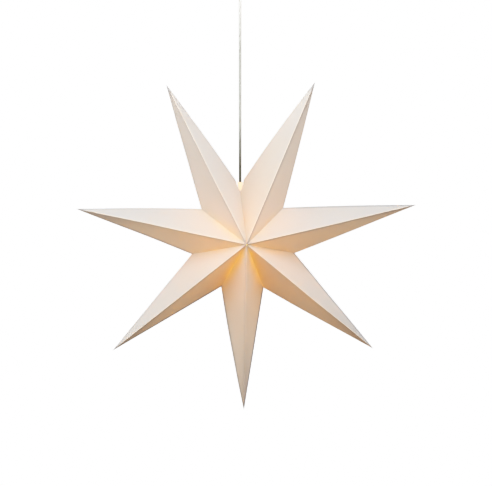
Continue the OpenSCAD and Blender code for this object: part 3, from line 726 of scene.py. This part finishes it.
def star_paper():
    """White star paper: clouds of fibre that let more or less light through and a fine tooth. Round a point
    60 mm below the star's centre it is warmer by exp(-(r / R)^2) with R = 190 mm: painted warm light and
    shade. The per-facet tint mark warms it further, and pales it where it is less than 0: painted light and
    shade for each facet. Ridges have a painted highlight on the side that looks up and painted shade on the
    other, outer edges and tips have painted shade, and along the seams more of the lamp's light comes
    through, with a painted golden glow in the colour and a faint one in the emission."""
    tree = Tree(bpy.data.materials.new("star_paper"))
    cloud, wide, tooth = tree.noise(140, 4), tree.noise(16, 2), tree.noise(1100, 3)
    rubbed, shaded, edge, line, band, facet_light_tint, lit = (tree.attribute(mark) for mark in MARK_NAMES)
    way = tree.node("ShaderNodeVectorMath", {"operation": "SUBTRACT"}, {0: tree.place(), 1: WARM_LIGHT_AT})
    reach = tree.node("ShaderNodeVectorMath", {"operation": "LENGTH"}, {0: way}, "Value")
    warm = (reach * reach * (-1 / WARM_LIGHT_R ** 2)).math("EXPONENT")
    colour = tree.mix(cloud, (0.825, 0.85, 0.895), (0.88, 0.905, 0.945))
    colour = tree.mix(wide.smooth(0.35, 0.7) * 0.3, colour, (0.88, 0.86, 0.85))
    # Painted warm light and shade round that point.
    colour = tree.mix(warm * 0.6, colour, (0.86, 0.80, 0.72))
    # Painted light and shade per facet: warmer where the tint mark is over 0, paler where it is under 0.
    colour = tree.mix(facet_light_tint.smooth(0.0, 1.0) * 0.7, colour, (0.90, 0.77, 0.62))
    colour = tree.mix((facet_light_tint * -1.0).smooth(0.0, 1.0) * 0.8, colour, (0.97, 0.98, 0.99))
    # Painted highlight along the ridges.
    colour = tree.mix(rubbed * 0.6, colour, (0.99, 0.96, 0.91))
    # Painted shade under the ridges.
    colour = tree.mix(shaded * 0.4, colour, (0.30, 0.25, 0.22))
    # Painted golden glow of the lamp along the seams.
    colour = tree.mix(band * 0.5, colour, (0.88, 0.86, 0.68))
    # Painted shade along the outer edges and at the tips.
    colour = tree.mix(edge * 0.85, colour, (0.17, 0.19, 0.24))
    bump = tree.bump(tooth * 0.6 + cloud * 0.4, 0.06 * MM, 0.5)
    # Emission: a faint painted glow along the leak line at the seams.
    leak = tree.mix(line, (0, 0, 0), (0.17, 0.16, 0.10))
    # Painted highlight: a faint glow along the ridges.
    leak = tree.mix(rubbed, leak, (0.16, 0.12, 0.08))
    # Painted glow on the tongue, as if the lamp lit it from close by.
    leak = tree.mix(lit, leak, (0.60, 0.30, 0.0))
    face = tree.principled(base_color=colour, roughness=0.62 + 0.14 * tooth, specular_level=0.25,
                           normal=bump, emission_color=leak, emission_strength=1.0)
    amber = tree.node("ShaderNodeBsdfTranslucent", {}, {"Color": (0.98, 0.80, 0.42, 1)})
    golden = tree.node("ShaderNodeBsdfTranslucent", {}, {"Color": (0.96, 0.86, 0.42, 1)})
    glow = tree.node("ShaderNodeMixShader", {}, {0: band, 1: amber, 2: golden})
    share = 0.27 + 0.06 * cloud + 0.22 * band - 0.08 * shaded - 0.16 * edge
    return tree.surface(tree.node("ShaderNodeMixShader", {}, {0: share, 1: face, 2: glow}))


paper = star_paper()
print("nodes in the paper:", len(paper.node_tree.nodes))

# %% [markdown]
# Now the parts of each arm are put together. Points that fall together are merged, so the outer edge
# joins front to back. The Solidify modifier gives the sheet its thickness, inwards, which keeps the
# outside where the solid has it.

# %% Fold the seven arms
MERGE_WITHIN = 0.003 * MM


def fold_arm(k, paper):
    """One arm as a closed sheet: both halves and the lap, and on one arm the tongue, merged, thickened
    and with sharp cut edges."""
    parts = [half_sheet(k, 0), half_sheet(k, 1), lap_strip(k)]
    if k == CLOSING_SEAM + 1:
        parts.append(snipped_tongue())
    points = np.concatenate([grid.reshape(-1, 3) for grid, _, _ in parts])
    starts = np.cumsum([0] + [grid.shape[0] * grid.shape[1] for grid, _, _ in parts])
    faces = np.concatenate([quads + start for (_, quads, _), start in zip(parts, starts)])
    marks = np.concatenate([marks.reshape(-1, len(MARK_NAMES)) for _, _, marks in parts]).astype(np.float32)
    arm = mesh_piece("paper_arm_" + ARM_NAMES[k], points, faces, paper)
    for i, mark in enumerate(MARK_NAMES):
        place = arm.data.attributes.new(mark, "FLOAT", "POINT")
        place.data.foreach_set("value", np.ascontiguousarray(marks[:, i]))
    arm.modifiers.new("merge", "WELD").merge_threshold = MERGE_WITHIN
    wall = arm.modifiers.new("wall", "SOLIDIFY")
    wall.thickness, wall.offset = PAPER, -1
    seen = arm.evaluated_get(bpy.context.evaluated_depsgraph_get())
    finished = bpy.data.meshes.new_from_object(seen)
    arm.modifiers.clear()
    arm.data = finished
    finished.set_sharp_from_angle(angle=math.radians(50))
    return arm


for k, name in enumerate(ARM_NAMES):
    arm = fold_arm(k, paper)
    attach(arm, "root")
    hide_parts("arm_" + name)
    print(arm.name, len(arm.data.polygons), "faces")

# %% [markdown]
# The opal bulb glows up to the rim of its thread. Its light has no blue in it, so that the lit folds
# turn as amber as they are in the picture. A lamp object would light them too, but the bulb's own solid
# already stands where the light comes from, and it shows through the pin prick at the hub.

# %% The opal bulb
BULB_GLOW = (30.0, 13.0, 0.0)
BULB_RIM_Z = STAR_CENTRE.z + 21.5 * MM


def opal_bulb():
    """Opal glass below the rim, a plated thread above it: the step between them is 0.2 mm of height.
    The white coating inside the glass is a little uneven, so its glow varies by a tenth."""
    tree = Tree(bpy.data.materials.new("opal_bulb"))
    thread = tree.height().smooth(BULB_RIM_Z - 0.1 * MM, BULB_RIM_Z + 0.1 * MM)
    coat, stain = tree.noise(30, 2), tree.noise(260, 4)
    plated = tree.mix(stain, (0.66, 0.65, 0.62), (0.50, 0.48, 0.44))
    colour = tree.mix(thread, tree.mix(coat, (0.95, 0.91, 0.84), (0.92, 0.87, 0.78)), plated)
    warm = tuple(c / BULB_GLOW[0] for c in BULB_GLOW)
    glow = tree.mix(thread, tree.mix(coat, warm, tuple(0.9 * c for c in warm)), (0, 0, 0))
    shader = tree.principled(base_color=colour, metallic=thread, roughness=0.22 + 0.25 * stain * thread,
                             normal=tree.bump(stain, 0.02 * MM, 0.4), emission_color=glow,
                             emission_strength=BULB_GLOW[0])
    return tree.surface(shader)


finishes = {"bulb": opal_bulb()}
print("bulb glow:", BULB_GLOW, "below", round(BULB_RIM_Z, 4))

# %% [markdown]
# Moulded plastic has a fine skin and gathers dust on what looks up. Plated steel and brass are clouded
# and have fine marks along the way they were drawn or turned. One plain colour each would look like
# paint, so each kind has a function that its colours are given to.

# %% Plastic, ceramic and metal
DUST = (0.62, 0.58, 0.52)


def moulded(name, colour, gloss):
    """Moulded plastic or glazed ceramic: a fine skin, slow changes of tone, and dust on what looks up."""
    tree = Tree(bpy.data.materials.new(name))
    skin, slow, specks = tree.noise(700, 3), tree.noise(22, 2), tree.noise(95, 5, roughness=0.7)
    facing = tree.node("ShaderNodeNewGeometry", {}, {}, "Normal")
    looks_up = tree.node("ShaderNodeSeparateXYZ", {}, {0: facing}, 2).smooth(0.2, 1.0)
    dust = looks_up * specks.smooth(0.4, 0.7) * 0.45
    tone = tree.mix(slow, colour, tuple(c * s for c, s in zip(colour, (0.96, 0.94, 0.90))))
    tone = tree.mix(specks.smooth(0.68, 0.8) * 0.25, tone, DUST)
    tone = tree.mix(dust, tone, DUST)
    shader = tree.principled(base_color=tone, roughness=gloss + 0.12 * skin + 0.4 * dust,
                             normal=tree.bump(skin * 0.6 + slow * 0.4, 0.05 * MM, 0.5))
    return tree.surface(shader)


def metal(name, colour, stain, gloss):
    """Plated or bare metal: clouds of stain, and fine drawn marks that are fourteen times as long as wide."""
    tree = Tree(bpy.data.materials.new(name))
    along = tree.node("ShaderNodeMapping", {}, {"Vector": tree.place(), "Scale": (1, 1, 0.07)})
    cloud, drawn = tree.noise(120, 4), tree.noise(1600, 3, along)
    tone = tree.mix(cloud.smooth(0.3, 0.75), colour, stain)
    shader = tree.principled(base_color=tone, metallic=1.0, roughness=gloss + 0.16 * cloud + 0.12 * drawn,
                             normal=tree.bump(drawn, 0.02 * MM, 0.45))
    return tree.surface(shader)


finishes.update({
    "white_plastic": moulded("white_plastic", (0.86, 0.86, 0.84), 0.30),
    "nylon": moulded("nylon", (0.80, 0.78, 0.70), 0.38),
    "ceramic": moulded("ceramic", (0.82, 0.81, 0.78), 0.16),
    "steel": metal("steel", (0.66, 0.66, 0.68), (0.50, 0.51, 0.53), 0.20),
    "brass": metal("brass", (0.80, 0.60, 0.28), (0.52, 0.36, 0.17), 0.18),
})
print("finishes:", ", ".join(finishes))

# %% [markdown]
# The solids keep their shape and only get a finish, each the one that the part's record names for it.

# %% Finish the solids
wanted = {s["node"]: s["material_slot"] for s in frame["record"]["subparts"]}
for name, node in frame["nodes"].items():
    if node.hide_render:
        continue
    finish = finishes.get(name) or finishes[wanted[name]]
    for place in node.material_slots:
        place.material = finish
print("finished:", sum(not node.hide_render for node in frame["nodes"].values()), "solids' nodes")
